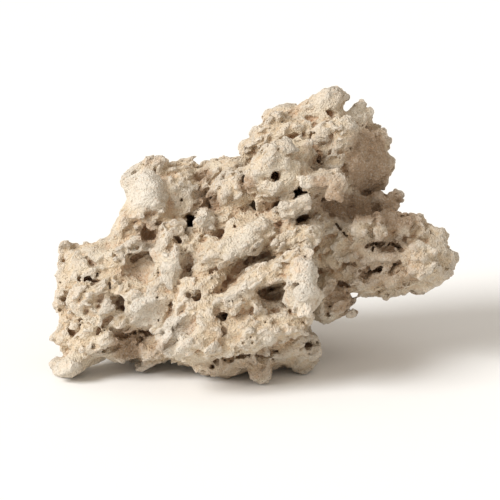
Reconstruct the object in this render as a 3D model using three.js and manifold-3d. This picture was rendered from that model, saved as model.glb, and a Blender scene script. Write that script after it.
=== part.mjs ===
// A dry reef rock: one piece of pale, porous limestone, grown from coral rubble that has cemented together.
// Its ridges climb to the right, a head stands over the right end and an arm reaches out below it.
// Millimetres, +Z up, +X to the right seen from the front, +Y to the back.
import * as THREE from "three";
import { ImprovedNoise } from "three/addons/math/ImprovedNoise.js";
import { MarchingCubes } from "three/addons/objects/MarchingCubes.js";
import { SimplifyModifier } from "three/addons/modifiers/SimplifyModifier.js";
import { mergeVertices } from "three/addons/utils/BufferGeometryUtils.js";
import Module from "manifold-3d";

const wasm = await Module();
wasm.setup();

// The rock is laid out as its front is seen: across to the right, back into the depth, and up.
// That view looks down on it by this angle, so the layout is tipped back by it at the end.
const viewTilt = THREE.MathUtils.degToRad(15);
const restHeight = -1; // where the feet are worn flat, in the tipped layout

const bluntness = 2.5; // 2 makes a lump an ellipsoid, and more a blunter block
const fillet = 1.5; // how softly the lumps grow together
const swell = 34; // the length of one swelling of the surface, along the ridges
const swellAcross = 17; // and across them
const swellHeight = 4.2; // how far the surface swells and sinks
const ridgeAngle = THREE.MathUtils.degToRad(32); // how steeply the ridges climb to the right

const cell = 2.8; // the side of one cell of the grid that the surface is drawn from
const cells = 128; // how many there are along each side, a power of two so that their corners meet exactly
const gridCentre = new THREE.Vector3(2, 42, 106);
const clearance = 0.3; // how near to a corner of a cell the surface may pass
const nearby = 16; // lumps further off than this have no say in where the surface runs
const mostFaces = 200000; // how many faces the fine surface may have
const keptCorners = 4750; // how many corners are left once its flatter places are simplified

// Each lump is [across, back, up], [half its length, depth, height], the angle its length climbs at, and the
// angle that its right end swings back by.
const masses = {
  core: [[-34, 34, 84], [82, 58, 48], 22, 0],
  leftWall: [[-106, 30, 62], [38, 46, 42], 8, -14],
  lowerFront: [[-14, 12, 50], [58, 48, 30], 14, 0],
  upperLeftBlock: [[-60, 40, 131], [34, 44, 34], 10, -10],
  head: [[48, 46, 168], [42, 42, 38], 32, 10],
  headBack: [[70, 66, 166], [28, 34, 32], 0, 0],
  caveBack: [[66, 80, 132], [34, 20, 18], 0, 0],
  armRoot: [[74, 66, 112], [34, 30, 22], 0, 0],
  neck: [[34, 38, 124], [42, 42, 32], 30, 0],
  arm: [[92, 46, 98], [54, 34, 25], -6, 12],
  lowerSlab: [[0, 32, 27], [46, 42, 18], 4, 0],
};

// The lumps that make the outline, from the left foot over the top to the bottom tip.
const edges = {
  leftFoot: [[-138, 16, 13], [13, 22, 10], 22, 0],
  leftHeel: [[-118, 20, 33], [21, 28, 15], 14, 0],
  leftKnob: [[-141, 24, 35], [11, 15, 8], 0, 0],
  leftSpur: [[-143, 22, 59], [10, 14, 6], 0, 0],
  leftCheek: [[-120, 24, 89], [21, 30, 18], 14, -15],
  cheekCorner: [[-139, 26, 97], [9, 16, 8], 10, 0],
  leftTop: [[-116, 28, 98], [20, 22, 9], 8, 0],
  leftShoulder: [[-91, 26, 116], [22, 30, 14], 44, 0],
  leftBrow: [[-78, 34, 155], [20, 28, 15], 24, -10],
  browKnob: [[-92, 30, 152], [9, 12, 8], -50, 0],
  plateau: [[-44, 50, 151], [40, 34, 15], 0, 0],
  plateauRight: [[-15, 44, 158], [22, 28, 13], 5, 0],
  headProw: [[14, 36, 184], [23, 30, 15], 34, 0],
  headBump: [[23, 44, 204], [11, 16, 9], 10, 0],
  crest: [[55, 42, 212], [24, 17, 10], 27, 0],
  crestRoot: [[50, 48, 200], [26, 26, 12], 10, 0],
  peak: [[84, 50, 204], [9, 14, 11], 65, 0],
  headCheek: [[88, 60, 178], [17, 28, 20], 0, 0],
  headJaw: [[90, 60, 161], [17, 26, 15], 0, 0],
  jawTip: [[103, 54, 166], [7, 12, 7], 0, 0],
  sideKnob: [[105, 48, 138], [9, 11, 7], 10, 0],
  sideNeck: [[84, 54, 133], [12, 18, 8], 0, 0],
  armTop: [[112, 50, 115], [26, 30, 14], -20, 12],
  armRidge: [[134, 46, 110], [18, 24, 11], -30, 10],
  armTip: [[138, 46, 96], [17, 24, 16], 85, 0],
  armHeel: [[135, 42, 84], [18, 24, 14], 24, 0],
  armBelly: [[96, 42, 82], [34, 30, 14], 0, 10],
  armDrip: [[104, 38, 73], [9, 16, 8], 0, 0],
  armpit: [[56, 38, 64], [18, 24, 19], 20, 0],
  underKnob: [[65, 38, 53], [13, 15, 8], 8, 0],
  slabEnd: [[35, 28, 24], [18, 24, 15], -8, 0],
  bottomTip: [[8, 4, 13], [14, 16, 9], 90, 0],
  bottomLeft: [[-25, 12, 15], [20, 22, 11], 0, 0],
  bellyLeft: [[-77, 30, 30], [38, 36, 15], 0, 0],
  spike: [[-86, 26, 17], [7, 7, 4], 95, 0],
};

// What stands out of the front.
const relief = {
  ridgeBar: [[-8, -32, 66], [58, 17, 12], 33, 0],
  ridgeFoot: [[-48, -34, 42], [22, 17, 14], 30, 0],
  ridgeKnob: [[36, -42, 84], [14, 16, 12], 30, 0],
  ridgeKnobLow: [[37, -42, 66], [14, 16, 13], -20, 0],
  lip: [[-42, -34, 30], [27, 16, 11], -4, 0],
  lipRight: [[-2, -28, 38], [26, 18, 13], 10, 0],
  lipEnd: [[26, -20, 48], [18, 20, 12], 10, 10],
  midBar: [[-8, -24, 105], [32, 14, 9], 33, 0],
  midBlock: [[30, -12, 108], [24, 20, 11], 14, 10],
  midShelf: [[-34, -20, 82], [18, 14, 9], 30, 0],
  lowerShelf: [[-40, -28, 66], [20, 14, 8], 32, 0],
  upperBar: [[28, -14, 131], [19, 14, 8], 28, 0],
  thumb: [[50, -10, 151], [20, 13, 9], 4, 0],
  faceBlock: [[18, -8, 158], [23, 21, 19], 30, 0],
  faceCap: [[34, -2, 174], [11, 16, 9], 20, 0],
  saddle: [[-14, 6, 148], [20, 22, 14], 24, 0],
  whiteLump: [[-37, -8, 124], [10, 11, 9], -40, 0],
  pillar: [[-60, -16, 88], [9, 13, 21], 4, 0],
  browFace: [[-76, 0, 140], [13, 16, 20], 10, 0],
  hollowSill: [[-62, -8, 116], [10, 12, 9], 0, 0],
  scoopRim: [[-84, -14, 66], [26, 15, 10], 14, 0],
  wallRib: [[-98, -6, 98], [22, 13, 7], 28, -10],
  wallSlab: [[-118, -8, 66], [20, 14, 9], 24, -15],
  armLumpLeft: [[80, 10, 117], [8, 12, 10], 80, 0],
  armLumpRight: [[94, 12, 118], [6, 12, 11], 0, 0],
  armFist: [[127, 18, 92], [13, 16, 16], 60, 0],
  headBrow: [[62, 16, 186], [20, 18, 12], 30, 0],
};

// What is taken out: wells, hollows, crevices and the undercuts below them.
const pits = {
  ridgeHole: [[15, -46, 68], [12, 24, 5.5], 18, 0],
  ridgeHoleLow: [[14, -48, 63], [8, 18, 5], 0, 0],
  ridgePit: [[-21, -44, 50], [6, 18, 6], 0, 0],
  crevice: [[-1, -38, 95], [14, 24, 4.5], 28, 0],
  scoop: [[-83, -28, 88], [15, 15, 10], 48, 0],
  hollowUnderBrow: [[-53, -12, 136], [11, 18, 15], 70, 0],
  wellLeft: [[-46, -8, 118], [8, 28, 5], 80, 0],
  groove: [[-48, -24, 88], [3.5, 15, 16], 6, 0],
  cup: [[-37, 8, 156], [8, 14, 5.5], 15, 0],
  gully: [[-30, -6, 140], [6, 16, 9], 40, 0],
  wellTop: [[-3, -16, 151], [6.5, 22, 6], 80, 0],
  wellFace: [[17, -28, 155], [4, 18, 5], -10, 0],
  underThumb: [[34, -24, 143], [8, 26, 4], 14, 0],
  underBar: [[36, -24, 122], [6, 22, 5], 0, 0],
  cave: [[66, 0, 132], [19, 26, 8], -24, 0],
  caveCleft: [[64, -10, 117], [11, 18, 3], -45, 0],
  armSlotTop: [[101, 12, 103], [12, 18, 3.5], -8, 0],
  armSlotLow: [[97, 12, 87], [14, 16, 3.5], 12, 0],
  recess: [[-90, -12, 32], [20, 26, 12], 6, 0],
  underLip: [[-14, -42, 17], [34, 18, 6], 0, 0],
  wallPit: [[-98, -20, 60], [6, 16, 6], 60, 0],
  wallSlit: [[-118, -14, 79], [13, 12, 3.5], 10, 0],
  ribSlit: [[-108, -14, 88], [9, 12, 3], 8, 0],
  kneePit: [[-131, -6, 47], [6, 14, 5], -50, 0],
  heelPit: [[-135, -4, 40], [6, 12, 4], 10, 0],
  triangle: [[-78, -14, 113], [6, 20, 6], 0, 0],
  saddlePit: [[6, -16, 133], [8, 14, 4], -20, 0],
  midHollow: [[-24, -22, 111], [6, 14, 6], 0, 0],
  ribPit: [[-40, -40, 64], [6, 12, 4], 20, 0],
  dish: [[-46, -50, 45], [8, 8, 6], 20, 0],
  crownPit: [[44, 12, 200], [5, 12, 4], 10, 0],
  crestGap: [[74, 44, 213], [4, 28, 9], -25, 0],
  headCleft: [[51, 0, 168], [3, 16, 7], -20, 0],
  endPit: [[42, 8, 30], [5, 14, 4], 10, 0],
  armpitHollow: [[68, 8, 72], [9, 18, 5], -20, 0],
};

// What stands out of the back, which rests on two feet.
const back = {
  backLeft: [[-90, 72, 78], [38, 30, 32], 10, 14],
  backMiddle: [[-22, 84, 86], [46, 28, 40], -15, 0],
  backRight: [[44, 84, 96], [34, 28, 32], 30, 0],
  backShoulder: [[-58, 76, 126], [30, 24, 20], 0, 0],
  backHead: [[54, 86, 160], [28, 20, 26], 20, 0],
  backFootLeft: [[-84, 86, 42], [22, 18, 20], 0, 0],
  backFootRight: [[24, 90, 43], [22, 20, 20], 0, 0],
  backLedge: [[0, 104, 62], [34, 16, 13], 12, 0],
  backBar: [[-44, 104, 92], [38, 13, 10], -28, 0],
  backArm: [[94, 76, 98], [34, 26, 20], 0, 0],
  backKnob: [[24, 108, 116], [16, 14, 14], 0, 0],
  backCrest: [[34, 76, 192], [20, 18, 13], 10, 0],
  headLedge: [[68, 98, 184], [24, 12, 9], 24, 0],
  headKnob: [[88, 92, 152], [13, 14, 12], 0, 0],
  napeBlock: [[38, 104, 150], [18, 14, 16], 0, 0],
  backRib: [[18, 114, 68], [34, 11, 8], -28, 0],
  backPlate: [[-62, 106, 110], [28, 13, 9], 15, 0],
  leftNub: [[-112, 90, 58], [14, 12, 14], 0, 0],
};

// And what is taken out of it.
const backPits = {
  backCave: [[10, 122, 90], [16, 20, 9], 20, 0],
  backHollow: [[-62, 112, 64], [14, 18, 9], -20, 0],
  backScoop: [[62, 112, 130], [13, 16, 10], 10, 0],
  backSlit: [[-20, 116, 116], [16, 16, 5], 15, 0],
  backWell: [[-98, 100, 90], [7, 18, 7], 0, 0],
  backArch: [[-28, 112, 34], [18, 20, 10], 0, 0],
  headPit: [[60, 112, 168], [11, 16, 7], 24, 0],
  headSide: [[112, 70, 174], [14, 9, 7], 0, 0],
  sideHollow: [[-132, 66, 70], [18, 10, 9], 10, 0],
  armUnder: [[110, 84, 78], [16, 14, 9], 0, 0],
  topHollow: [[-40, 64, 170], [12, 9, 9], 0, 0],
  topCleft: [[-70, 62, 168], [5, 18, 8], 10, 30],
};

const noise = new ImprovedNoise();
const climb = new THREE.Vector3(Math.cos(ridgeAngle), 0, Math.sin(ridgeAngle));
const slope = new THREE.Vector3(-Math.sin(ridgeAngle), 0, Math.cos(ridgeAngle));

// Swells that are long up the ridges and short across them, with bumps and creases on them.
function swellAt(point) {
  const along = point.dot(climb) / swell;
  const across = point.dot(slope) / swellAcross;
  const depth = point.y / swellAcross;
  const large = noise.noise(along, depth, across);
  const bumps = Math.abs(noise.noise(1.7 * along + 7, 1.7 * depth, 1.7 * across));
  return 0.9 * large + 1.5 * bumps - 0.55;
}

// A lump or pit, ready for measuring: how far a point lies outside it, or less than 0 inside.
function blunt([at, size, turn, swing]) {
  const centre = new THREE.Vector3(...at);
  const tipped = new THREE.Euler(0, -THREE.MathUtils.degToRad(turn), THREE.MathUtils.degToRad(swing), "ZYX");
  const intoLump = new THREE.Matrix4()
    .compose(centre, new THREE.Quaternion().setFromEuler(tipped), new THREE.Vector3(...size))
    .invert();
  const farAway = Math.max(...size) + nearby;
  const local = new THREE.Vector3();
  return (point) => {
    const fromCentre = point.distanceTo(centre);
    if (fromCentre > farAway) return nearby;
    const { x, y, z } = local.copy(point).applyMatrix4(intoLump);
    const powers = Math.abs(x) ** bluntness + Math.abs(y) ** bluntness + Math.abs(z) ** bluntness;
    return fromCentre * (1 - powers ** (-1 / bluntness));
  };
}

const lumps = Object.values({ ...masses, ...edges, ...relief, ...back }).map(blunt);
const hollows = Object.values({ ...pits, ...backPits }).map(blunt);

// How far a point lies inside the rock, or less than 0 outside it.
function depthAt(point) {
  let merged = 0;
  for (const lump of lumps) merged += Math.exp(-lump(point) / fillet);
  let outside = -fillet * Math.log(merged) - swellHeight * swellAt(point);
  for (const hollow of hollows) outside = Math.max(outside, -hollow(point));
  return -Math.sign(outside) * Math.max(Math.abs(outside), clearance);
}

// The surface where that depth is 0, drawn cell by cell, then simplified where it is flatter.
async function drawSurface() {
  const grid = new MarchingCubes(cells, undefined, false, false, mostFaces);
  grid.isolation = 0;
  const point = new THREE.Vector3();
  for (let k = 0; k < cells; k++) {
    for (let j = 0; j < cells; j++) {
      for (let i = 0; i < cells; i++) {
        point.set(i, j, k).subScalar(cells / 2).multiplyScalar(cell).add(gridCentre);
        grid.setCell(i, j, k, depthAt(point));
      }
    }
  }
  grid.update();
  const drawn = new THREE.BufferGeometry();
  drawn.setAttribute("position", new THREE.BufferAttribute(grid.positionArray.slice(0, 3 * grid.count), 3));
  const half = (cell * cells) / 2;
  drawn.scale(half, half, half).translate(...gridCentre);
  const fine = mergeVertices(drawn);
  const surface = await new SimplifyModifier().modify(fine, fine.attributes.position.count - keptCorners);
  return surface.rotateX(-viewTilt);
}

// A closed mesh with merged corners as a solid that can be joined and cut.
function solidFrom(closed) {
  return new wasm.Manifold(
    new wasm.Mesh({
      numProp: 3,
      vertProperties: new Float32Array(closed.attributes.position.array),
      triVerts: new Uint32Array(closed.index.array),
    }),
  );
}

// Everything below the height that the rock rests at.
function ground() {
  const wide = 1000;
  const deep = 100;
  const slab = new THREE.BoxGeometry(wide, wide, deep).translate(0, 0, restHeight - deep / 2);
  slab.deleteAttribute("normal");
  slab.deleteAttribute("uv");
  return mergeVertices(slab);
}

// The rock with its feet worn flat, over the middle of its own box and standing on it.
function restingRock(surface) {
  const { vertProperties, triVerts } = solidFrom(surface).subtract(solidFrom(ground())).getMesh();
  const rock = new THREE.BufferGeometry();
  rock.setAttribute("position", new THREE.BufferAttribute(vertProperties, 3));
  rock.setIndex(new THREE.BufferAttribute(triVerts, 1));
  rock.computeBoundingBox();
  const middle = rock.boundingBox.getCenter(new THREE.Vector3());
  rock.translate(-middle.x, -middle.y, -rock.boundingBox.min.z);
  rock.computeVertexNormals();
  return rock;
}

const limestone = new THREE.MeshStandardMaterial({
  color: 0xd9c7ab,
  roughness: 0.95,
  metalness: 0,
  flatShading: true,
});
const reefRock = new THREE.Mesh(restingRock(await drawSurface()), limestone);
reefRock.name = "reef_rock";

const part = new THREE.Group();
part.add(reefRock);
export default part;
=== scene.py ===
import itertools
import math
import time

import bpy
import numpy as np
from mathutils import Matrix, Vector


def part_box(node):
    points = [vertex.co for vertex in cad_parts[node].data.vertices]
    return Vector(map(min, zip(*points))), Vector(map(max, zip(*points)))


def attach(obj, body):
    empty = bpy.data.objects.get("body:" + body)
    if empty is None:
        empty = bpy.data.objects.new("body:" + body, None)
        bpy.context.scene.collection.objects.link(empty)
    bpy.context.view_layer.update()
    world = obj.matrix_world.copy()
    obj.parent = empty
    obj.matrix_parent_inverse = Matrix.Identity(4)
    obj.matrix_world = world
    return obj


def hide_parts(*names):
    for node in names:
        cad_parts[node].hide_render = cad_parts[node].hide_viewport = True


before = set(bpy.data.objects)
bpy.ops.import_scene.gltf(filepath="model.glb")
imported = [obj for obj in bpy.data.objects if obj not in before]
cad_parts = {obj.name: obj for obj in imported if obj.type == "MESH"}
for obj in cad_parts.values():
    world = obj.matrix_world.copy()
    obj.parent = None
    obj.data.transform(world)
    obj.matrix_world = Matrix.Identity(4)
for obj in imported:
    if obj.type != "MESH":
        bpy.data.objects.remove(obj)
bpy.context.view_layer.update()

import openvdb as vdb
from mathutils import Vector
from mathutils.bvhtree import BVHTree

# A dry reef rock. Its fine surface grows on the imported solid, in a field of distances on a grid of small
# cells. Nubs and coarse noise come first, then the lumps, wells, hollows and slits seen in the front view,
# then coarse pores, fine noise and pores all round.

startTime = time.time()
mmPerMetre = 1000
tiny = 1e-6  # keeps a division from failing


def report(stage):
    print(f"{stage}, {time.time() - startTime:.1f} s")


# The view that the rock was laid out in: across, up and back in millimetres, looking down by tilt degrees.
# corner is where the lowest corner of the rock's box lies in the tipped layout.
frontView = dict(
    tilt=15,
    corner=(-153.6, -43.9, -1.0),
    aim=(-1.5, 100.5),
    lens=150,
    sensor=36,
    width=375,  # what the picture takes in, at the depth of the layout's origin
    nearest=0.05,  # what the camera sees, in metres
    farthest=50,
)
viewDistance = frontView["lens"] / frontView["sensor"] * frontView["width"]
tilt = math.radians(frontView["tilt"])
boxLow = np.array(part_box("reef_rock")[0]) * mmPerMetre
layoutOrigin = boxLow - np.array(frontView["corner"])
viewAxes = np.array([  # the directions of across, up and back
    [1, 0, 0],
    [0, math.sin(tilt), math.cos(tilt)],
    [0, math.cos(tilt), -math.sin(tilt)],
])
eye = layoutOrigin + np.array([*frontView["aim"], -viewDistance]) @ viewAxes


def inLayout(points):
    # from the object's frame, in mm, to across, up and back
    return (points - layoutOrigin) @ viewAxes.T


# Cells and the rock's overall roughness

grain = dict(
    cell=1.2,  # mm
    band=7.0,  # how far from the surface the field is worked on, mm
    known=1.5,  # how far the solid's own distances reach, in bands
    spare=2,  # empty cells round them
    soften=2.2,  # how far the solid's facets are rounded, mm
    tails=2.5,  # where a blur is cut off, as a multiple of its reach
    seed=11,
    triangles=192000,
    sharpAngle=28,  # degrees between faces, from which their edge is sharp
)
cell = grain["cell"]
rng = np.random.default_rng(grain["seed"])


def gridFromSolid(solid):
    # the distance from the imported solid, less than 0 inside, in a block of cells with a margin round it
    mesh = solid.data
    points = np.empty(len(mesh.vertices) * 3, np.float32)
    mesh.vertices.foreach_get("co", points)
    points = points.reshape(-1, 3) * mmPerMetre
    mesh.calc_loop_triangles()
    corners = np.empty(len(mesh.loop_triangles) * 3, np.int32)
    mesh.loop_triangles.foreach_get("vertices", corners)
    corners = corners.reshape(-1, 3).astype(np.uint32)
    place = vdb.createLinearTransform(voxelSize=cell)
    reach = math.ceil(grain["known"] * grain["band"] / cell)
    levels = vdb.FloatGrid.createLevelSetFromPolygons(
        points, triangles=corners, transform=place, exBandWidth=reach, inBandWidth=reach)
    margin = reach + grain["spare"]
    low = np.floor(points.min(0) / cell).astype(int) - margin
    high = np.ceil(points.max(0) / cell).astype(int) + margin
    block = np.empty(high - low, np.float32)
    levels.copyToArray(block, ijk=tuple(int(i) for i in low))
    return block, low


def softened(block, reach):
    # a Gaussian blur, axis by axis; reach in mm
    sigma = reach / cell
    half = math.ceil(grain["tails"] * sigma)
    steps = np.arange(-half, half + 1)
    weights = np.exp(-0.5 * (steps / sigma) ** 2)
    weights /= weights.sum()
    for axis in range(3):
        rim = [(0, 0)] * 3
        rim[axis] = (half, half)
        padded = np.pad(block, rim, mode="edge")
        count = block.shape[axis]
        mixed = np.zeros_like(block)
        for k, weight in enumerate(weights):
            window = [slice(None)] * 3
            window[axis] = slice(k, k + count)
            mixed += np.float32(weight) * padded[tuple(window)]
        block = mixed
    return block


def readBlock(block, low, points):
    # the block's value at points in mm, mixed from the eight cells around
    spot = points / cell - low
    base = np.clip(np.floor(spot).astype(np.int32), 0, np.array(block.shape) - 2)
    part = (spot - base).astype(np.float32)
    flat = block.ravel()
    stepX, stepY = block.shape[1] * block.shape[2], block.shape[2]
    first = base[:, 0] * stepX + base[:, 1] * stepY + base[:, 2]
    total = np.zeros(len(points), np.float32)
    for i, j, k in itertools.product((0, 1), repeat=3):
        share = (part[:, 0] if i else 1 - part[:, 0]) * (part[:, 1] if j else 1 - part[:, 1])
        share *= part[:, 2] if k else 1 - part[:, 2]
        total += share * flat[first + i * stepX + j * stepY + k]
    return total


# Noise that repeats, worked out once on a block of samples and then looked up at any size

noiseMaker = dict(
    lattice=12,  # lattice cells along each side of the block
    steps=8,  # samples in each of them
    wavePeak=0.55,  # about how high the bumps come out, before they are brought to 1
    chipMiddles=(0.05, 0.95),  # where a flat's middle lies in its lattice cell
    chipHeight=1.6,
)


def smoothShare(part):
    # 0 to 1, with a flat start and a flat end
    return part ** 3 * (part * (6 * part - 15) + 10)


def makeWaves():
    # smooth bumps, from about -1 to 1
    lattice, steps = noiseMaker["lattice"], noiseMaker["steps"]
    slopes = rng.normal(size=(lattice, lattice, lattice, 3)).astype(np.float32)
    slopes /= np.linalg.norm(slopes, axis=-1, keepdims=True)
    side = lattice * steps
    line = np.arange(side, dtype=np.float32) / steps
    base = line.astype(int)
    part = line - base
    fade = smoothShare(part)
    block = np.zeros((side, side, side), np.float32)
    for i, j, k in itertools.product((0, 1), repeat=3):
        corner = slopes[np.ix_((base + i) % lattice, (base + j) % lattice, (base + k) % lattice)]
        reach = (
            corner[..., 0] * (part - i)[:, None, None]
            + corner[..., 1] * (part - j)[None, :, None]
            + corner[..., 2] * (part - k)[None, None, :]
        )
        weightX = (fade if i else 1 - fade)[:, None, None]
        weightY = (fade if j else 1 - fade)[None, :, None]
        weightZ = (fade if k else 1 - fade)[None, None, :]
        block += reach * weightX * weightY * weightZ
    return block / noiseMaker["wavePeak"]


def makeChips():
    # tilted flats with steps between them, like broken stone: each lattice cell has its own middle and slope
    lattice, steps = noiseMaker["lattice"], noiseMaker["steps"]
    middles = rng.uniform(*noiseMaker["chipMiddles"], (lattice, lattice, lattice, 3)).astype(np.float32)
    slopes = rng.normal(size=(lattice, lattice, lattice, 3)).astype(np.float32)
    slopes /= np.linalg.norm(slopes, axis=-1, keepdims=True)
    side = lattice * steps
    line = np.arange(side, dtype=np.float32) / steps
    base = line.astype(int)
    part = line - base
    spot = np.stack(np.meshgrid(part, part, part, indexing="ij"), axis=-1)
    nearest = np.full((side, side, side), np.inf, np.float32)
    height = np.zeros((side, side, side), np.float32)
    for shift in itertools.product((-1, 0, 1), repeat=3):
        index = np.ix_(*((base + s) % lattice for s in shift))
        away = spot - middles[index] - np.array(shift, np.float32)
        distance = (away ** 2).sum(-1)
        closer = distance < nearest
        nearest[closer] = distance[closer]
        height[closer] = (away * slopes[index]).sum(-1)[closer]
    return height * noiseMaker["chipHeight"]


def lookUp(block, points, size, shift=0.0):
    # the block's value, where one of its lattice cells is size mm across
    side = block.shape[0]
    spot = (points / size + shift) * noiseMaker["steps"]
    base = np.floor(spot).astype(np.int32)
    part = (spot - base).astype(np.float32)
    near = base % side
    far = (near + 1) % side
    flat = block.ravel()
    total = np.zeros(len(points), np.float32)
    for i, j, k in itertools.product((0, 1), repeat=3):
        spotX = (far if i else near)[:, 0] * (side * side)
        spotY = (far if j else near)[:, 1] * side
        spotZ = (far if k else near)[:, 2]
        share = (part[:, 0] if i else 1 - part[:, 0]) * (part[:, 1] if j else 1 - part[:, 1])
        total += share * (part[:, 2] if k else 1 - part[:, 2]) * flat[spotX + spotY + spotZ]
    return total


waves = makeWaves()
chips = makeChips()


# Forms seen in the front view, in the layout's millimetres, each on the surface that the view meets there.
# depth is how deep they go in or about how far they stand out, edge how round their rim is, lean how much
# they climb as they go in, and square how blocky they are: 2 is round. Each form is [across, up, half width,
# half height, turn in degrees], and each path is a half width and the points that the groove runs through.

wells = dict(depth=9, edge=0.7, lean=0.35, square=2.6, forms=[
    [-19.5, 50.5, 2.5, 3, 0],
    [17, 155, 2.7, 4.2, 0],
    [-3.5, 150, 5.5, 5, 0],
    [-97, 56, 2, 2.4, 0],
    [-92, 61, 2, 1.8, 30],
    [42, 29, 3.5, 2.6, 0],
    [-30, 13, 2.2, 2, 0],
])

# the black parts of the largest holes and a notch in the left edge, then the floor that slopes up to the
# light below one of the holes
mouths = dict(depth=26, edge=0.5, lean=0.25, square=2.6, paths=[
    [2.2, (5, 68.5), (9, 70.5), (14, 72), (19, 73), (24, 74.5)],
    [3.6, (-44, 125), (-46, 120), (-48, 112)],
    [3.3, (35.5, 121.5), (38, 125)],
    [1.5, (-147, 56), (-142, 55.5)],
])
floors = dict(depth=7, edge=0.8, lean=0.7, square=3, forms=[
    [12.5, 66, 9.5, 4.5, 8],
])

slots = dict(depth=9, edge=0.6, lean=0.45, square=2.4, paths=[
    [2.4, (-12, 88), (-4, 91), (4, 94), (12, 97)],
    [1.7, (-34, 82.5), (-27, 85.5)],
    [1.9, (-58, 111), (-54, 107)],
    [2.5, (28.5, 141), (34, 144), (42, 142.5)],
    [1.6, (62, 122), (66, 117), (71, 112)],
    [1.3, (86, 103), (91, 105), (95, 106), (101, 105), (105.5, 106), (107.5, 103), (112, 101)],
    [1.1, (91, 104), (90.5, 99.5)],
    [1.15, (81, 84.5), (90.5, 84.5), (98.5, 86), (103, 88.5), (110.5, 91)],
    [2.2, (57, 59), (57, 51)],
    [1.0, (-113, 87), (-105, 87.5)],
    [0.9, (-127, 78), (-123, 77.5)],
    [0.9, (-120, 77), (-116, 77)],
    [1.1, (-107, 76), (-107, 69)],
    [1.0, (49, 165.5), (52, 171.5)],
])

grooves = dict(depth=6.5, edge=0.9, lean=0.6, square=2.2, paths=[
    [1.2, (38, 48), (42, 40)],
    [1.5, (28, 54), (36, 51), (45, 52)],
    [2.8, (-66, 19), (-58, 16), (-48, 17), (-40, 21), (-30, 19), (-20, 20)],
    [2.8, (-20, 20), (-10, 21), (-3, 23), (6, 21), (16, 20)],
    [1.3, (13, 23), (19, 23.5)],
    [1.2, (-142, 55.5), (-138, 55.5)],
    [2.5, (-35, 68), (-27, 71), (-20, 71)],
    [2.2, (-115, 92), (-105, 96), (-95, 100), (-85, 103)],
    [1.5, (-112, 66), (-116, 58)],
    [2.2, (-117, 38), (-106, 50)],
    [1.4, (-114, 40), (-104, 42), (-92, 41), (-80, 39), (-68, 36)],
    [1.6, (-124, 94), (-118, 89)],
    [1.3, (-44, 163), (-34, 163)],
    [2.2, (-40, 146), (-36, 140), (-32, 134), (-25, 131)],
    [1.8, (-40, 117), (-34, 115), (-27, 112)],
    [1.2, (-67, 118), (-57, 119)],
    [1.6, (-43, 144), (-43, 131)],
    [1.3, (-130, 79), (-122, 79), (-113, 83)],
    [2.2, (57, 204), (62, 202), (66, 199)],
    [1.0, (69, 165), (69, 160)],
    [1.9, (43, 140), (52, 141), (62, 141), (68, 139)],
    [1.2, (68, 90), (77, 90.5)],
    [1.1, (139, 95), (139, 89)],
    [2.0, (65, 76), (71, 74), (77, 71)],
])

hollows = dict(depth=6, edge=0.9, lean=0.25, square=2.4, forms=[
    [-40, 64, 4.5, 5.5, 0],
    [-48, 67, 3, 3, 0],
    [-54, 55, 4.5, 2.4, 30],
    [-40, 22, 3.5, 3, 0],
    [-8, 25, 3, 3, 0],
    [-18, 79, 4, 3, 20],
    [-96, 63, 5.5, 4.5, 0],
    [-127, 46, 3, 4.5, 0],
    [-134, 51, 2.5, 2.5, 0],
    [-124, 55, 2.5, 3.5, 0],
    [-135, 39, 4.5, 3.5, 0],
    [-107, 26, 7, 5, 0],
    [-127, 98, 3, 2, 0],
    [-100, 97, 2, 1.6, 0],
    [-37, 156, 7, 5, 25],
    [-75, 125, 5.5, 5, 0],
    [-77, 113, 6.5, 6.5, 0],
    [-91, 116, 4.5, 3, 0],
    [-62, 101, 3.5, 3, 0],
    [-22, 111, 4.5, 5, 0],
    [-36, 109, 3, 3, 0],
    [-12, 127, 5, 2.5, 20],
    [5, 133, 5, 4.5, 0],
    [44, 199, 4, 2.6, 10],
    [48, 194, 2, 2, 0],
    [86, 143, 4, 3.5, 0],
    [94, 131, 4, 3.5, 0],
    [66, 67, 6, 4, 0],
])

# a broad scoop, dipping as it goes in
scoops = dict(depth=7.5, edge=0.7, lean=-0.5, square=2.2, forms=[
    [-84, 88, 11, 16, -28],
])

dents = dict(depth=2.6, edge=1.0, lean=0, square=2, forms=[
    [-45, 45, 8, 8, 0],
    [36, 71, 3.5, 4.5, 0],
    [-32, 139, 5, 9, 45],
    [18, 54, 4, 3, 0],
    [-138, 12, 4, 3.5, 0],
    [-60, 30, 5, 4, 0],
])

dots = dict(depth=4, edge=0.4, lean=0.2, square=2, forms=[
    [0, 31, 1, 1, 0],
    [-1, 35, 1, 1, 0],
    [-70, 48, 1.1, 1, 0],
    [-71, 65, 1.1, 1, 0],
    [10, 46, 1, 0.9, 0],
    [-10, 11, 1.3, 1, 0],
    [-5, 11, 1, 0.9, 0],
    [-13, 93, 1.1, 1, 0],
    [-16, 90, 1.1, 1, 0],
    [-84, 92, 1.4, 1.3, 0],
    [-53, 138, 1.4, 1.4, 0],
    [-13, 118, 1.2, 1.1, 0],
])

# these fill hollows of the solid, or stand out further than the lumps
bosses = dict(depth=6.5, edge=0.9, lean=0, square=3.5, forms=[
    [-93, 29, 11, 8, 0],
    [-77, 27, 8, 7, 0],
    [-110, 33, 7, 5, 20],
    [37.5, 83, 8.5, 11, 0],
    [40, 65, 9, 10, 0],
    [-80, 38, 9, 4, -20],
    [-138, 27, 5, 4, 0],
    [-4, 141, 10, 4, 3],
    [10, 138, 9, 6, 20],
    [62, 149, 7, 9, 0],
    [93, 140, 5, 5, 0],
    [25, 190, 12, 5, 30],
    [-56, 138, 7, 10, 10],
    [14, 166.5, 3.2, 4.2, 0],
    [19.5, 199.5, 4, 3.5, 0],
    [98, 103, 16, 3, 0],
    [95, 85, 17, 2.6, 6],
])

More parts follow.
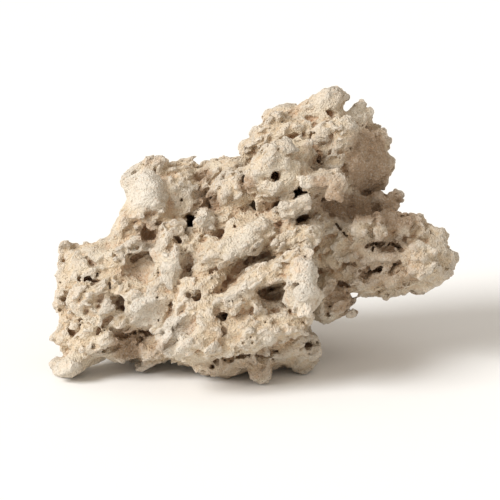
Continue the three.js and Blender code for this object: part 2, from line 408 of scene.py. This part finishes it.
# this fills a ledge below a well in the solid
plugs = dict(depth=12, edge=0.9, lean=0, square=3.5, forms=[
    [-22, 40.5, 7, 4.5, 0],
])

lumps = dict(depth=4, edge=0.7, lean=0, square=4, forms=[
    [30, 188, 5, 3.5, 0],
    [40, 190, 5, 4, 0],
    [-49, 70, 5, 12, -8],
    [-39, 141, 2.6, 3.6, 0],
    [-60, 96, 5, 8, 10],
    [-63, 82, 6, 8, -8],
    [81, 118.5, 5.5, 7.5, -12],
    [94, 118, 5, 9, 4],
    [113, 117, 6, 7, 0],
    [-33, 155, 10, 2.2, 34],
    [-62, 30, 6, 7, 0],
    [52, 152, 15, 4.5, 4],
    [33, 133, 12, 5, 22],
    [103, 95, 16, 3.6, 0],
    [128, 92, 9, 11, 0],
    [20, 174, 12, 5, 30],
    [57, 190, 9, 5, 30],
    [91, 101.5, 1.8, 3, 0],
])

# Patches of the front that are calm, pale, or brown as painted shade where the front lies in shade: [across,
# up, half width, half height, turn, share]
patches = dict(
    rim=0.5,  # how far the edge fades, as a share of the patch
    reach=45,  # how far back in the layout they show in full, mm
    fade=20,  # how far behind that they fade out, mm
    calm=[
        [39, 75, 12, 20, 0, 0.7],
        [-82, 145, 18, 17, 0, 0.9],
        [-55, 139, 10, 12, 0, 0.8],
        [-62, 88, 8, 16, 0, 0.4],
        [-6, 110, 20, 8, 36, 0.2],
        [-84, 87, 14, 17, -28, 0.6],
        [-80, 55, 15, 14, 0, 0.8],
        [-110, 98, 17, 6, 22, 0.5],
        [-136, 13, 15, 9, 0, 0.5],
        [17, 158, 17, 14, 0, 0.5],
        [52, 152, 18, 8, 0, 0.5],
        [97, 95, 18, 6, 5, 0.7],
        [72, 133, 26, 11, -8, 0.5],
        [85, 170, 16, 25, 0, 0.4],
        [82, 206, 14, 14, 0, 0.3],
        [-12, 12, 36, 8, 0, 0.5],
        [-56, 38, 14, 18, 0, 0.3],
        [10, 32, 12, 8, 0, 0.3],
        [0, 78, 20, 5, 32, 0.4],
        [-36, 157, 13, 8, 25, 0.5],
    ],
    pale=[
        [42, 80, 8, 16, 0, 0.8],
        [38, 61, 8, 6, 0, 0.5],
        [-34, 121, 7, 7, 0, 0.7],
        [-82, 147, 17, 16, 0, 0.9],
        [-39, 141, 4, 5, 0, 0.8],
        [-62, 88, 8, 16, 0, 0.5],
        [-6, 110, 19, 7, 36, 0.5],
        [-80, 55, 14, 13, 0, 0.9],
        [-138, 15, 12, 11, 0, 0.4],
        [50, 210, 18, 6, 35, 0.4],
        [80, 200, 9, 9, 0, 0.5],
        [-56, 38, 13, 18, 0, 0.6],
        [11, 33, 8, 6, 0, 0.6],
        [-8, 70, 16, 6, 32, 0.5],
    ],
    # brown: painted shade, put where the front lies in shade
    paintedShadeBrown=[
        [72, 133, 26, 11, -8, 1],
        [-93, 30, 14, 12, 0, 0.9],
        [-76, 25, 10, 9, 0, 0.4],
        [-33, 138, 7, 11, 45, 0.8],
        [-4, 150, 7, 7, 0, 0.9],
        [66, 64, 11, 12, 0, 0.8],
        [98, 92, 30, 22, 0, 0.55],
        [88, 165, 18, 28, 0, 0.95],
        [-12, 11, 40, 8, 0, 0.45],
        [-84, 88, 10, 13, -28, 0.4],
        [-78, 113, 10, 9, 0, 0.6],
        [104, 138, 9, 9, 0, 0.8],
        [100, 127, 28, 9, -15, 0.8],
        [58, 149, 14, 9, 0, 0.75],
        [-37, 156, 8, 5, 25, 0.8],
        [13, 66, 11, 6, 10, 0.7],
    ],
)

# Scattered forms all round, which the seed sets out: how many, their size in mm from small to large, how
# much deeper than wide they are, and how far in their middle lies, in mm
pores = dict(count=520, small=0.9, large=2.4, depth=1.8, inward=0.5, edge=0.3, square=2)
coarsePores = dict(count=90, small=2.6, large=5.5, depth=1.2, inward=1.0, edge=0.6, square=2.5)
nubs = dict(count=550, small=1.8, large=4.6, depth=0.7, inward=1.4, edge=0.4, square=4)

scatterOval = (0.7, 1.3)  # how far their two widths differ from their size

# some of the surface crumbles more than the rest, and calmed is how much of that the calm patches take away
crumbling = dict(size=34, least=0.55, most=1.4, contrast=0.9, shift=2.9, calmed=0.85)
# the outlines of forms stray by this share of their size, with waves and chips this many times as large
raggedness = dict(share=0.3, waveSize=1.3, chipSize=0.9, chipLeast=1, chipShare=0.8)
# a form that stands out has this half length, and its middle this far behind the surface, both in depths
rooted = dict(halfLength=1.2, behind=0.4)
# a path is stamped at steps of this many half widths, and strays and swells by these shares of it
pathWalk = dict(step=0.8, stray=0.25, thin=0.6, thick=1.3, shallow=0.5)
# where less than the least share of the space within reach mm is rock, it is taken off, as steeply as cut says
wisps = dict(reach=1.6, least=0.27, cut=8)


def patchShare(points, forms):
    # how much of each point's place on the front the patches take, from 0 to 1
    across, up, back = inLayout(points).T
    aimAcross, aimUp = frontView["aim"]
    shrink = viewDistance / (viewDistance + back)
    across = aimAcross + (across - aimAcross) * shrink
    up = aimUp + (up - aimUp) * shrink
    total = np.zeros(len(points))
    for midAcross, midUp, halfWidth, halfHeight, turn, share in forms:
        turnCos, turnSin = math.cos(math.radians(turn)), math.sin(math.radians(turn))
        along = (across - midAcross) * turnCos + (up - midUp) * turnSin
        beside = (up - midUp) * turnCos - (across - midAcross) * turnSin
        ratio = np.hypot(along / halfWidth, beside / halfHeight)
        total = np.maximum(total, share * np.clip(0.5 + (1 - ratio) / patches["rim"], 0, 1))
    return total * np.clip(1 + (patches["reach"] - back) / patches["fade"], 0, 1)


def crumblingAt(points):
    waving = lookUp(waves, points, crumbling["size"], crumbling["shift"])
    share = np.clip(0.5 + crumbling["contrast"] * waving, 0, 1)
    amount = crumbling["least"] + (crumbling["most"] - crumbling["least"]) * share
    return amount * (1 - crumbling["calmed"] * patchShare(points, patches["calm"]))


def stamp(block, low, centre, axes, radii, group, outwards=False):
    # adds a blunt lump to the field or takes it out, with a soft join; axes are its directions and radii its
    # half lengths in mm
    join = 2 * group["edge"]
    reach = max(radii) + 2 * join + 2 * cell
    first = np.maximum(np.floor((centre - reach) / cell).astype(int) - low, 0)
    last = np.minimum(np.ceil((centre + reach) / cell).astype(int) - low + 1, block.shape)
    if (last <= first).any():
        return
    lines = [(np.arange(a, b) + c) * cell for a, b, c in zip(first, last, low)]
    window = block[first[0]:last[0], first[1]:last[1], first[2]:last[2]]
    away = np.stack(np.meshgrid(*lines, indexing="ij"), axis=-1).astype(np.float32)
    away = away - centre.astype(np.float32)
    local = np.abs(away @ axes.T.astype(np.float32)) / np.array(radii, np.float32)
    spots = (away + centre).reshape(-1, 3)
    size = (radii[0] + radii[1]) / 2
    broken = lookUp(chips, spots, raggedness["chipSize"] * size + raggedness["chipLeast"])
    ragged = lookUp(waves, spots, raggedness["waveSize"] * size) + raggedness["chipShare"] * broken
    ratio = (local ** group["square"]).sum(-1) ** (1 / group["square"]) + tiny
    ratio *= 1 + raggedness["share"] * ragged.reshape(ratio.shape)
    distance = np.sqrt((away ** 2).sum(-1)) * (1 - 1 / ratio)
    if outwards:
        share = np.clip(0.5 + 0.5 * (window - distance) / join, 0, 1)
        window[:] = window + share * (distance - window) - join * share * (1 - share)
    else:
        share = np.clip(0.5 - 0.5 * (window + distance) / join, 0, 1)
        window[:] = window + share * (-distance - window) + join * share * (1 - share)


def formAxes(turn, lean):
    # a form's own directions: along its width, up its height and into the rock
    angle = math.radians(turn)
    width = np.array([math.cos(angle), math.sin(angle), 0])
    height = np.array([-math.sin(angle), math.cos(angle), 0])
    inwards = np.array([0, lean, 1]) / math.hypot(lean, 1)
    return np.stack([width, height, inwards]) @ viewAxes


def surfaceSeen(tree, across, up):
    # where the front view meets the solid, and the direction of the view there
    seen = layoutOrigin + np.array([across, up, 0]) @ viewAxes
    ray = (seen - eye) / np.linalg.norm(seen - eye)
    spot = tree.ray_cast(Vector(eye / mmPerMetre), Vector(ray))[0]
    return (np.array(spot) * mmPerMetre, ray) if spot is not None else (None, ray)


def stampForms(block, low, tree, group, outwards=False):
    for across, up, halfWidth, halfHeight, turn in group["forms"]:
        spot, ray = surfaceSeen(tree, across, up)
        if spot is None:
            print(f"nothing is seen at {across}, {up}")
            continue
        radii = (halfWidth, halfHeight, group["depth"] * (rooted["halfLength"] if outwards else 1))
        middle = spot + ray * rooted["behind"] * group["depth"] * outwards
        stamp(block, low, middle, formAxes(turn, group["lean"]), radii, group, outwards)


def stampPaths(block, low, tree, group):
    axes = formAxes(0, group["lean"])
    for halfWidth, *corners in group["paths"]:
        for start, end in itertools.pairwise(corners):
            count = math.ceil(math.dist(start, end) / (pathWalk["step"] * halfWidth))
            for share in np.linspace(0, 1, count + 1):
                across, up = np.array(start) + share * (np.array(end) - start)
                stray = halfWidth * rng.normal(0, pathWalk["stray"], 2)
                spot = surfaceSeen(tree, across + stray[0], up + stray[1])[0]
                radii = halfWidth * rng.uniform(pathWalk["thin"], pathWalk["thick"], 2)
                if spot is not None:
                    depth = group["depth"] * rng.uniform(pathWalk["shallow"], 1)
                    stamp(block, low, spot, axes, (*radii, depth), group)


def surfaceSpots(block, low, count):
    # random places on the surface, with the direction out of it
    step = 2
    inner = block[step:-step, step:-step, step:-step]
    close = np.argwhere(np.abs(inner) < 0.5 * cell) + step
    chosen = close[rng.choice(len(close), count, replace=False)]
    x, y, z = chosen.T
    slope = np.stack([
        block[x + step, y, z] - block[x - step, y, z],
        block[x, y + step, z] - block[x, y - step, z],
        block[x, y, z + step] - block[x, y, z - step],
    ], axis=-1)
    slope /= np.linalg.norm(slope, axis=-1, keepdims=True) + tiny
    return (chosen + low) * cell + rng.uniform(-0.5, 0.5, (count, 3)) * cell, slope


def scatter(block, low, group, outwards=False):
    spots, outDirections = surfaceSpots(block, low, group["count"])
    span = group["large"] / group["small"]
    sizes = group["small"] * span ** (rng.random(group["count"]) ** 2)  # small ones are the most common
    keep = crumblingAt(spots) > rng.uniform(0, crumbling["most"], group["count"])
    for spot, out, size in zip(spots[keep], outDirections[keep], sizes[keep]):
        side = np.cross(out, rng.normal(size=3))
        side /= np.linalg.norm(side)
        axes = np.stack([side, np.cross(out, side), out])
        radii = (size * rng.uniform(*scatterOval), size * rng.uniform(*scatterOval), size * group["depth"])
        centre = spot - out * group["inward"]
        stamp(block, low, centre, axes, radii, group, outwards)


# Noise that bends what is there and roughens it: the size of its bumps in mm, then how far they reach in mm.
# The coarse pass comes before the forms seen in the front view, so that they stay in their places.
coarseNoise = dict(bends=[(15, 1.6)], creases=[(11, 0.4)], breaks=[(14, 3.0)], crumbs=[])
fineNoise = dict(
    bends=[(8, 1.1), (4, 0.5)],
    creases=[],
    breaks=[(8, 2.0), (4.4, 1.5), (2.6, 1.1)],
    crumbs=[(2.1, 0.4)],
)
ridgeAngle = math.radians(32)
stretch = 1.7  # the bumps are this much longer up the ridges
creaseShape = dict(slope=2.2, middle=0.75)  # how steep their sides are, and how far up they are centred
noiseShifts = dict(bend=1.3, bendStep=3.7, crease=0.37, breaks=0.2, crumb=5.1)  # so that they don't line up
breakSwirl = 0.35  # how much of the bends the breaks follow


def alongRidges(points):
    # the layout, turned so that its first direction climbs with the ridges and squeezed along it
    across, up, back = inLayout(points).T
    climb = across * math.cos(ridgeAngle) + up * math.sin(ridgeAngle)
    slope = up * math.cos(ridgeAngle) - across * math.sin(ridgeAngle)
    return np.stack([climb / stretch, slope, back], axis=-1)


def roughen(block, low, noise):
    close = np.argwhere(np.abs(block) < grain["band"])
    points = ((close + low) * cell).astype(np.float32)
    turned = alongRidges(points).astype(np.float32)
    crumbly = crumblingAt(points)
    shifts = np.zeros_like(points)
    for size, reach in noise["bends"]:
        for axis in range(3):
            shift = noiseShifts["bendStep"] * axis + noiseShifts["bend"]
            shifts[:, axis] += reach * crumbly * lookUp(waves, points, size, shift)
    values = readBlock(block, low, points + shifts)
    for size, reach in noise["creases"]:
        folds = np.abs(lookUp(waves, turned, size, noiseShifts["crease"]))
        values -= reach * (creaseShape["slope"] * folds - creaseShape["middle"])
    for size, reach in noise["breaks"]:
        swirled = turned + breakSwirl * shifts
        values -= reach * crumbly * lookUp(chips, swirled, size, noiseShifts["breaks"] * size)
    for size, reach in noise["crumbs"]:
        values -= reach * crumbly * lookUp(waves, points, size, noiseShifts["crumb"])
    rough = block.copy()
    rough[tuple(close.T)] = values
    return rough


def shareOfSolid(block, reach):
    # how much of the space within reach mm of each cell is rock
    return softened(np.clip(0.5 - block / cell, 0, 1), reach)


def trimWisps(block):
    # takes off what is too thin to be stone
    return np.maximum(block, (wisps["least"] - shareOfSolid(block, wisps["reach"])) * wisps["cut"])


def flattenFeet(block, low):
    # nothing reaches below the surface that the rock rests on
    heights = ((np.arange(block.shape[2]) + low[2]) * cell).astype(np.float32)
    return np.maximum(block, -heights[None, None, :])


def largestIsland(points, faces):
    # the faces that hang together with most others
    label = np.arange(len(points))
    edges = np.concatenate([faces[:, [k, (k + 1) % faces.shape[1]]] for k in range(faces.shape[1])])
    while True:
        least = np.minimum(label[edges[:, 0]], label[edges[:, 1]])
        new = label.copy()
        np.minimum.at(new, edges[:, 0], least)
        np.minimum.at(new, edges[:, 1], least)
        new = new[new]
        if (new == label).all():
            break
        label = new
    names, counts = np.unique(label, return_counts=True)
    keep = label == names[counts.argmax()]
    renumber = np.cumsum(keep) - 1
    return points[keep], renumber[faces[keep[faces[:, 0]]]]


def meshFromField(block, low, name):
    levels = vdb.FloatGrid(float(block.max()))
    levels.copyFromArray(block, ijk=tuple(int(i) for i in low))
    levels.transform = vdb.createLinearTransform(voxelSize=cell)
    points, _, quads = levels.convertToPolygons(isovalue=0, adaptivity=0)
    points, quads = largestIsland(points, quads.astype(np.int64)[:, ::-1])
    mesh = bpy.data.meshes.new(name)
    mesh.from_pydata((points / mmPerMetre).tolist(), [], quads.tolist())
    mesh.update()
    return mesh


def thinOut(piece):
    # fewer triangles where the surface is flatter
    mesh = piece.data
    mesh.calc_loop_triangles()
    share = grain["triangles"] / len(mesh.loop_triangles)
    if share < 1:
        thinner = piece.modifiers.new("thinner", "DECIMATE")
        thinner.ratio = share
        shown = piece.evaluated_get(bpy.context.evaluated_depsgraph_get())
        piece.data = bpy.data.meshes.new_from_object(shown)
        piece.modifiers.clear()
        piece.data.name = piece.name
    report(f"{share:.2f} of the triangles kept")


# how much of the space round each spot is rock: the material turns this into painted shade in the crevices
crevices = dict(creviceFine=2.5, creviceWide=8.0)  # how far around each spot they are measured, mm


def setFloats(mesh, name, values):
    mesh.attributes.new(name, "FLOAT", "POINT").data.foreach_set("value", values.astype(np.float32))


def buildRock():
    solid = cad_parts["reef_rock"]
    field, low = gridFromSolid(solid)
    report(f"field of {field.size / 1e6:.1f} million cells")
    field = softened(field, grain["soften"])
    report("softened")
    tree = BVHTree.FromObject(solid, bpy.context.evaluated_depsgraph_get())
    scatter(field, low, nubs, outwards=True)
    field = roughen(field, low, coarseNoise)
    report("coarse noise")
    for group in (plugs, bosses, lumps):
        stampForms(field, low, tree, group, outwards=True)
    for group in (scoops, dents, hollows, wells, floors):
        stampForms(field, low, tree, group)
    for group in (grooves, slots, mouths):
        stampPaths(field, low, tree, group)
    scatter(field, low, coarsePores)
    report("forms stamped")
    field = roughen(field, low, fineNoise)
    scatter(field, low, pores)
    stampForms(field, low, tree, dots)
    report("fine noise")
    field = flattenFeet(trimWisps(field), low)
    mesh = meshFromField(field, low, "reef_rock_surface")
    rock = bpy.data.objects.new("reef_rock_surface", mesh)
    bpy.context.scene.collection.objects.link(rock)
    report(f"{len(mesh.polygons)} faces drawn")
    thinOut(rock)
    points = np.empty(len(rock.data.vertices) * 3, np.float32)
    rock.data.vertices.foreach_get("co", points)
    points = points.reshape(-1, 3) * mmPerMetre
    for name, reach in crevices.items():
        setFloats(rock.data, name, readBlock(shareOfSolid(field, reach), low, points))
    setFloats(rock.data, "crumbly", crumblingAt(points))
    # the pale patches, and the brown patches of painted shade
    for name in ("pale", "paintedShadeBrown"):
        setFloats(rock.data, name, patchShare(points, patches[name]))
    report("crevices and patches measured")
    rock.data.shade_smooth()
    rock.data.set_sharp_from_angle(angle=math.radians(grain["sharpAngle"]))
    return rock


# Shader maths: a socket with operators, and one method for every other node


class Socket:
    def __init__(self, shader, socket):
        self.shader, self.socket = shader, socket

    def math(self, operation, first, second):
        return self.shader.node("ShaderNodeMath", {"operation": operation}, {0: first, 1: second})

    def __add__(self, other):
        return self.math("ADD", self, other)

    def __sub__(self, other):
        return self.math("SUBTRACT", self, other)

    def __rsub__(self, other):
        return self.math("SUBTRACT", other, self)

    def __mul__(self, other):
        return self.math("MULTIPLY", self, other)

    __radd__ = __add__
    __rmul__ = __mul__

    def ramp(self, low, high):
        # 0 up to low, 1 from high on, and a straight rise between
        return self.shader.node(
            "ShaderNodeMapRange", {"clamp": True}, {"Value": self, "From Min": low, "From Max": high})


class Shader:
    def __init__(self, name):
        self.material = bpy.data.materials.new(name)
        self.material.use_nodes = True
        self.surface = self.material.node_tree.nodes["Principled BSDF"]

    def feed(self, slot, item):
        if isinstance(item, Socket):
            self.material.node_tree.links.new(item.socket, slot)
        else:
            slot.default_value = item

    def node(self, kind, settings=None, inputs=None, output=0):
        made = self.material.node_tree.nodes.new(kind)
        for key, setting in (settings or {}).items():
            setattr(made, key, setting)
        for key, item in (inputs or {}).items():
            self.feed(made.inputs[key], item)
        return Socket(self, made.outputs[output])

    def mix(self, share, first, second):
        # inputs 6 and 7 are the node's colours, and output 2 is their mix
        colours = {6: first, 7: second}
        full = {key: item if isinstance(item, Socket) else (*item, 1) for key, item in colours.items()}
        return self.node("ShaderNodeMix", {"data_type": "RGBA"}, {0: share, **full}, 2)

    def attribute(self, name):
        return self.node("ShaderNodeAttribute", {"attribute_name": name}, output="Fac")

    def noise(self, where, size, detail=3.0, roughness=0.55):
        # size in mm
        spread = {"Vector": where, "Scale": mmPerMetre / size, "Detail": detail, "Roughness": roughness}
        return self.node("ShaderNodeTexNoise", None, spread)


limestone = dict(
    cream=(0.69, 0.595, 0.455),
    sand=(0.61, 0.485, 0.335),
    # tan is painted shade in the shallow crevices and also the colour of the tan grains; brown is painted
    # shade in the deep crevices and in the brown patches
    tanGrainAndPaintedShade=(0.58, 0.385, 0.245),
    paintedShadeBrown=(0.39, 0.23, 0.14),
    white=(0.70, 0.66, 0.585),
    # shade is the colour of the painted shade in the brown patches
    shade=(0.39, 0.27, 0.175),
    # dust is painted light on the raised parts and also the colour of the powder grains
    dustAndPaintedLight=(0.70, 0.64, 0.555),
    grey=(0.48, 0.43, 0.36),
    rust=(0.56, 0.32, 0.16),
    speck=(0.22, 0.165, 0.115),
    roughness=0.96,
    specular=0.12,
    grainHeight=0.0016,  # m
    grainSize=1.5,  # mm, as the sizes below are
    bumpSize=3.2,
    mottleSize=8,
    patchSize=42,
    weatherSize=26,
    stainSize=19,
    tanGrainSize=2.4,
    powderSize=1.8,
    pitSpacing=1.7,  # in grains
    sandRamp=(0.44, 0.62),  # where each tint starts and where it is full
    shallowShadeRamp=(0.05, 0.7),
    deepShadeRamp=(0.65, 1.25),
    paintedLightRamp=(0.05, 0.6),
    weatherRamp=(0.55, 0.68),
    rustRamp=(0.60, 0.72),
    patchRamp=(0.1, 0.9),
    tanGrainRamp=(0.56, 0.72),
    powderRamp=(0.52, 0.68),
    speckRamp=(0.37, 0.27),
    pitRamp=(0.0, 0.5),
    paintedLightOnRaised=0.7,  # the most that each of these covers
    weathered=0.45,
    rusty=0.32,
    whitened=0.6,
    shaded=0.9,
    tanGrains=0.5,
    powdery=0.4,
    speckled=0.3,
    speckledMore=0.4,  # what weathered places add to that
    gritRelief=1.3,  # shares of grainHeight
    bumpRelief=0.35,
    pitRelief=0.4,
)


def limestoneMaterial():
    stone = limestone
    shader = Shader("limestone")
    where = shader.node("ShaderNodeTexCoord", output="Object")
    fine, wide, crumbly = (shader.attribute(name) for name in ("creviceFine", "creviceWide", "crumbly"))
    broad = shader.noise(where, stone["patchSize"], 4)
    mottle = shader.noise(where, stone["mottleSize"], 4, 0.62)
    grit = shader.noise(where, stone["grainSize"], 2, 0.6)
    sandy = (mottle * 0.5 + broad * 0.3 + crumbly * 0.2).ramp(*stone["sandRamp"])
    colour = shader.mix(sandy, stone["cream"], stone["sand"])
    # painted shade in the crevices, tan in the shallow ones and brown in the deep ones, and painted light, in
    # the dust colour, on the raised parts
    paintedShallowShade = (fine - 0.5) * 1.5 + (wide - 0.5) * 1.2 + (mottle - 0.5) * 0.7
    colour = shader.mix(paintedShallowShade.ramp(*stone["shallowShadeRamp"]), colour, stone["tanGrainAndPaintedShade"])
    paintedDeepShade = (wide - 0.5) * 1.6 + (fine - 0.5)
    colour = shader.mix(paintedDeepShade.ramp(*stone["deepShadeRamp"]), colour, stone["paintedShadeBrown"])
    # painted light: the raised parts, away from the crevices, are made paler in the dust colour
    raised = (0.5 - fine) * 2 + (0.5 - wide) * 0.8 + (broad - 0.5)
    colour = shader.mix(raised.ramp(*stone["paintedLightRamp"]) * stone["paintedLightOnRaised"], colour, stone["dustAndPaintedLight"])
    # grey weathering and rusty stains
    weathered = shader.noise(where, stone["weatherSize"], 3) + raised * 0.12
    weathered = weathered.ramp(*stone["weatherRamp"])
    colour = shader.mix(weathered * stone["weathered"], colour, stone["grey"])
    stained = shader.noise(where, stone["stainSize"], 3).ramp(*stone["rustRamp"])
    colour = shader.mix(stained * stone["rusty"], colour, stone["rust"])
    # the pale patches, and the brown patches of painted shade where the front lies in shade, with ragged edges
    ragged = mottle * 1.2 - 0.6
    whitened = (shader.attribute("pale") + ragged).ramp(*stone["patchRamp"])
    colour = shader.mix(whitened * stone["whitened"], colour, stone["white"])
    paintedShadePatch = (shader.attribute("paintedShadeBrown") + ragged).ramp(*stone["patchRamp"])
    colour = shader.mix(paintedShadePatch * stone["shaded"], colour, stone["shade"])
    # grains, powder and dark specks
    grains = shader.noise(where, stone["tanGrainSize"], 2, 0.6).ramp(*stone["tanGrainRamp"])
    colour = shader.mix(grains * stone["tanGrains"], colour, stone["tanGrainAndPaintedShade"])
    powder = shader.noise(where, stone["powderSize"], 2, 0.6).ramp(*stone["powderRamp"])
    colour = shader.mix(powder * stone["powdery"], colour, stone["dustAndPaintedLight"])
    speckled = grit.ramp(*stone["speckRamp"]) * (stone["speckled"] + weathered * stone["speckledMore"])
    colour = shader.mix(speckled, colour, stone["speck"])
    shader.feed(shader.surface.inputs["Base Color"], colour)
    shader.surface.inputs["Roughness"].default_value = stone["roughness"]
    shader.surface.inputs["Specular IOR Level"].default_value = stone["specular"]
    pitScale = mmPerMetre / (stone["pitSpacing"] * stone["grainSize"])
    cells = {"Vector": where, "Scale": pitScale, "Randomness": 1.0}
    pits = shader.node("ShaderNodeTexVoronoi", None, cells, "Distance").ramp(*stone["pitRamp"])
    bumps = shader.noise(where, stone["bumpSize"], 3, 0.65)
    height = grit * stone["gritRelief"] + bumps * stone["bumpRelief"] + pits * stone["pitRelief"]
    relief = {"Strength": 1.0, "Distance": stone["grainHeight"], "Height": height}
    shader.feed(shader.surface.inputs["Normal"], shader.node("ShaderNodeBump", None, relief, "Normal"))
    return shader.material


rock = buildRock()
rock.data.materials.append(limestoneMaterial())
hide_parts("reef_rock")
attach(rock, "root")
report("rock built")


# The floor, the light and the camera

studio = dict(
    floorColour=(0.93, 0.93, 0.92),
    floorRoughness=0.9,
    floorSize=8,
    keyStrength=3.3,
    keySpread=30,  # degrees across, for soft shadows
    keyFrom=(-1.5, -0.9, 1.2),
    worldColour=(1.0, 0.93, 0.85),
    worldStrength=0.6,
)


def makeFloor():
    half = studio["floorSize"] / 2
    mesh = bpy.data.meshes.new("floor")
    corners = [(-half, -half, 0), (half, -half, 0), (half, half, 0), (-half, half, 0)]
    mesh.from_pydata(corners, [], [(0, 1, 2, 3)])
    floor = bpy.data.objects.new("floor", mesh)
    bpy.context.scene.collection.objects.link(floor)
    shader = Shader("pale_floor")
    shader.surface.inputs["Base Color"].default_value = (*studio["floorColour"], 1)
    shader.surface.inputs["Roughness"].default_value = studio["floorRoughness"]
    mesh.materials.append(shader.material)


def makeLight():
    lamp = bpy.data.lights.new("key", "SUN")
    lamp.energy = studio["keyStrength"]
    lamp.angle = math.radians(studio["keySpread"])
    key = bpy.data.objects.new("key", lamp)
    key.location = studio["keyFrom"]
    key.rotation_euler = (-key.location).to_track_quat("-Z", "Y").to_euler()
    bpy.context.scene.collection.objects.link(key)
    world = bpy.data.worlds.new("studio")
    world.use_nodes = True
    world.node_tree.nodes["Background"].inputs["Color"].default_value = (*studio["worldColour"], 1)
    world.node_tree.nodes["Background"].inputs["Strength"].default_value = studio["worldStrength"]
    bpy.context.scene.world = world


def makeCamera():
    lens = bpy.data.cameras.new("camera")
    lens.lens = frontView["lens"]
    lens.sensor_width = frontView["sensor"]
    lens.clip_start = frontView["nearest"]
    lens.clip_end = frontView["farthest"]
    camera = bpy.data.objects.new("camera", lens)
    camera.location = Vector(eye / mmPerMetre)
    camera.rotation_euler = Vector(viewAxes[2]).to_track_quat("-Z", "Y").to_euler()
    bpy.context.scene.collection.objects.link(camera)
    bpy.context.scene.camera = camera


makeFloor()
makeLight()
makeCamera()
bpy.context.scene.view_settings.view_transform = "Standard"
report("studio set up")
